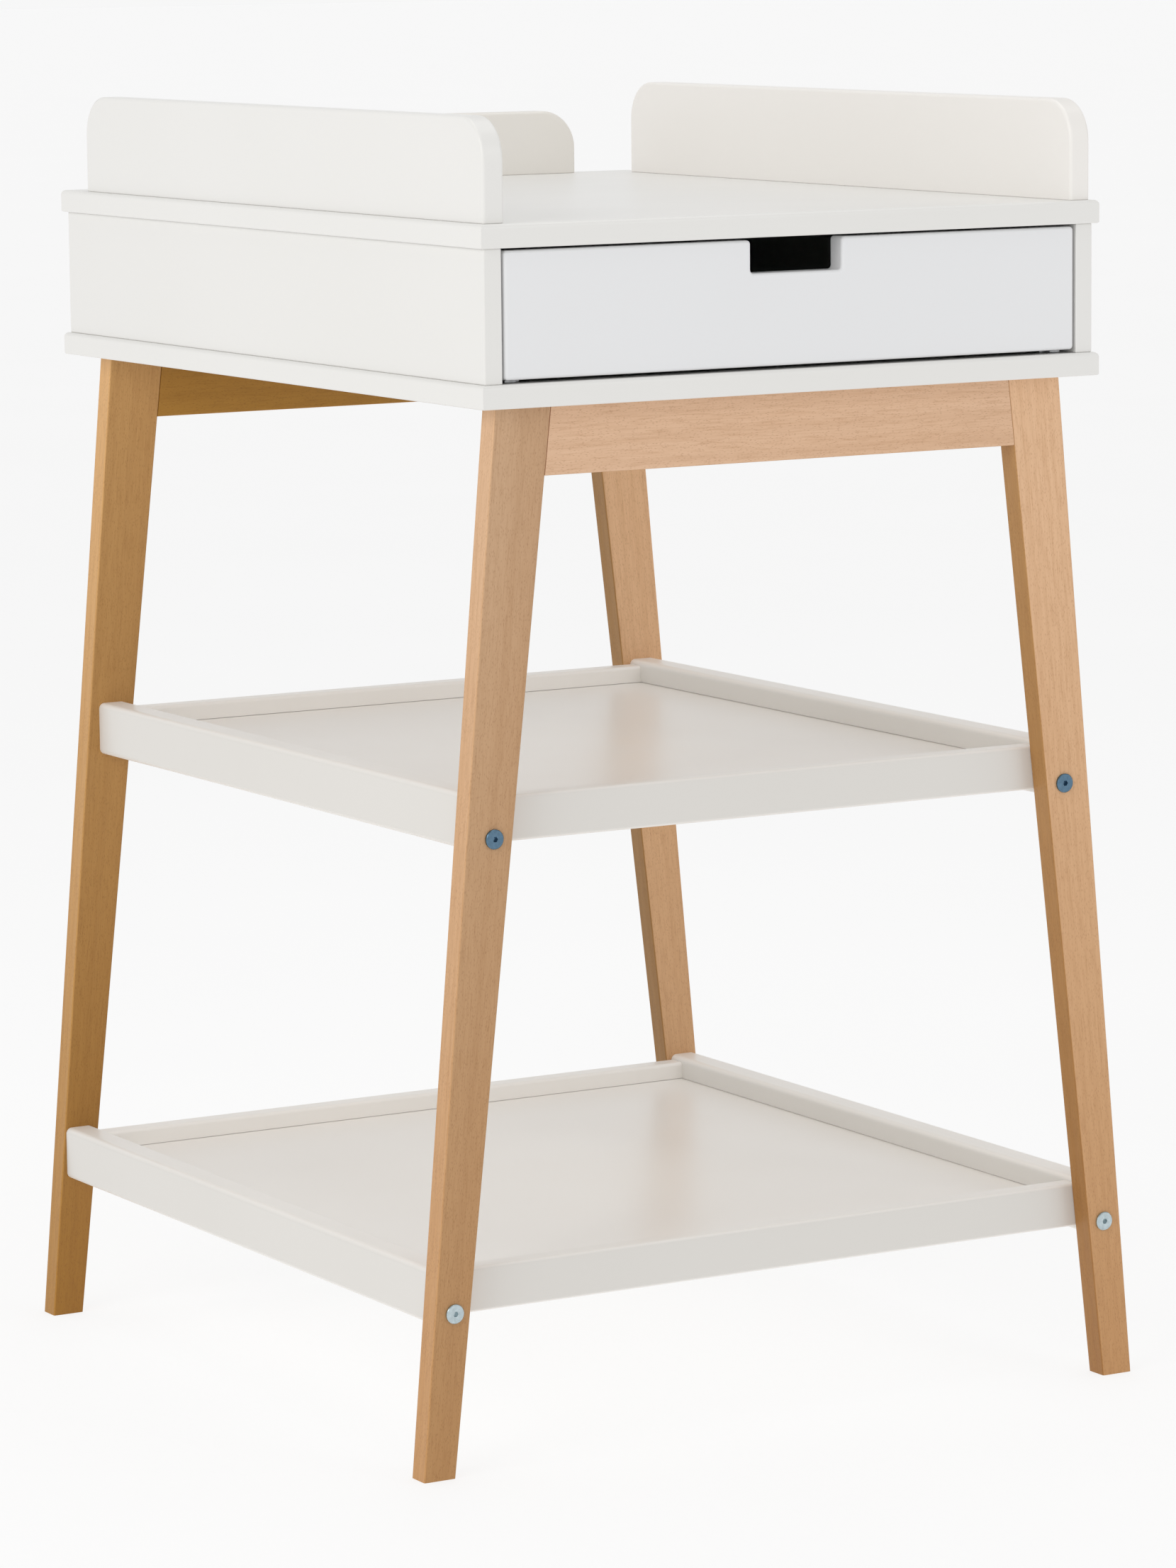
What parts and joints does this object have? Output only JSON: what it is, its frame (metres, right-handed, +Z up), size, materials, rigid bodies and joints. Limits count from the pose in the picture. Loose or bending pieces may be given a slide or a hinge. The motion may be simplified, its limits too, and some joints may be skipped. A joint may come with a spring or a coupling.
{
  "type": "changing table",
  "caption": "Baby changing table: white lacquered top with low guards over a full-width drawer, on a splayed beech stand with open trays below",
  "frame": {"origin": "on the floor, under the middle of the tabletop", "axes": "+Z up, +X to the right seen from the front, the drawer opens towards -Y"},
  "size_m": [0.649, 0.71, 1.02],
  "materials": {
    "white_lacquer": "white satin lacquer over board, softly rounded edges",
    "drawer_white": "white melamine faced board, matt",
    "beech": "clear matt lacquered solid beech, fine flecks",
    "dowel_wood": "bare beech dowel",
    "runner_steel": "galvanised sheet steel",
    "zinc_steel": "bright zinc plated steel",
    "roller_plastic": "white acetal"
  },
  "bodies": {
    "table": {"apron_dowels": "dowel_wood", "back_guard": "white_lacquer", "barrel_nuts": "zinc_steel", "base_panel": "white_lacquer", "case_back_panel": "white_lacquer", "case_cam_bolts": "zinc_steel", "case_cams": "zinc_steel", "case_dowels": "dowel_wood", "case_runner_screws": "zinc_steel", "frame_screws": "zinc_steel", "front_apron": "beech", "front_left_leg": "beech", "front_right_leg": "beech", "front_roller_pins": "zinc_steel", "guard_dowels": "dowel_wood", "guard_screws": "zinc_steel", "left_case_runner": "runner_steel", "left_guard": "white_lacquer", "left_side_panel": "white_lacquer", "lower_back_rail": "white_lacquer", "lower_front_rail": "white_lacquer", "lower_left_rail": "white_lacquer", "lower_panel": "white_lacquer", "lower_right_rail": "white_lacquer", "middle_back_rail": "white_lacquer", "middle_front_rail": "white_lacquer", "middle_left_rail": "white_lacquer", "middle_panel": "white_lacquer", "middle_right_rail": "white_lacquer", "rear_apron": "beech", "rear_left_leg": "beech", "rear_right_leg": "beech", "right_case_runner": "runner_steel", "right_guard": "white_lacquer", "right_side_panel": "white_lacquer", "shelf_bolts": "zinc_steel", "tabletop": "white_lacquer", "tray_dowels": "dowel_wood"},
    "drawer": {"drawer_back": "drawer_white", "drawer_bottom": "drawer_white", "drawer_dowels": "dowel_wood", "drawer_front": "white_lacquer", "drawer_left_side": "drawer_white", "drawer_right_side": "drawer_white", "drawer_runner_screws": "zinc_steel", "drawer_screws": "zinc_steel", "left_drawer_runner": "runner_steel", "right_drawer_runner": "runner_steel", "rear_roller_pins": "zinc_steel"},
    "left_front_roller": {"left_front_roller": "roller_plastic"},
    "right_front_roller": {"right_front_roller": "roller_plastic"},
    "left_rear_roller": {"left_rear_roller": "roller_plastic"},
    "right_rear_roller": {"right_rear_roller": "roller_plastic"}
  },
  "joints": [
    {"name": "drawer_slide", "type": "slide", "parent": "table", "child": "drawer", "axis": [0, -1, 0], "range_m": [0, 0.4]},
    {"name": "left_front_roller_spin", "type": "hinge", "parent": "table", "child": "left_front_roller", "pos_m": [-0.24975, -0.315, 0.8362], "axis": [1, 0, 0], "range_deg": [0, 2300]},
    {"name": "right_front_roller_spin", "type": "hinge", "parent": "table", "child": "right_front_roller", "pos_m": [0.24975, -0.315, 0.8362], "axis": [1, 0, 0], "range_deg": [0, 2300]},
    {"name": "left_rear_roller_spin", "type": "hinge", "parent": "drawer", "child": "left_rear_roller", "pos_m": [-0.24975, 0.2, 0.8362], "axis": [1, 0, 0], "range_deg": [0, 2300]},
    {"name": "right_rear_roller_spin", "type": "hinge", "parent": "drawer", "child": "right_rear_roller", "pos_m": [0.24975, 0.2, 0.8362], "axis": [1, 0, 0], "range_deg": [0, 2300]}
  ],
  "couplings": [
    {"joint": "left_front_roller_spin", "follows": "drawer_slide", "rad_per_m": 100},
    {"joint": "right_front_roller_spin", "follows": "drawer_slide", "rad_per_m": 100},
    {"joint": "left_rear_roller_spin", "follows": "drawer_slide", "rad_per_m": 100},
    {"joint": "right_rear_roller_spin", "follows": "drawer_slide", "rad_per_m": 100}
  ]
}
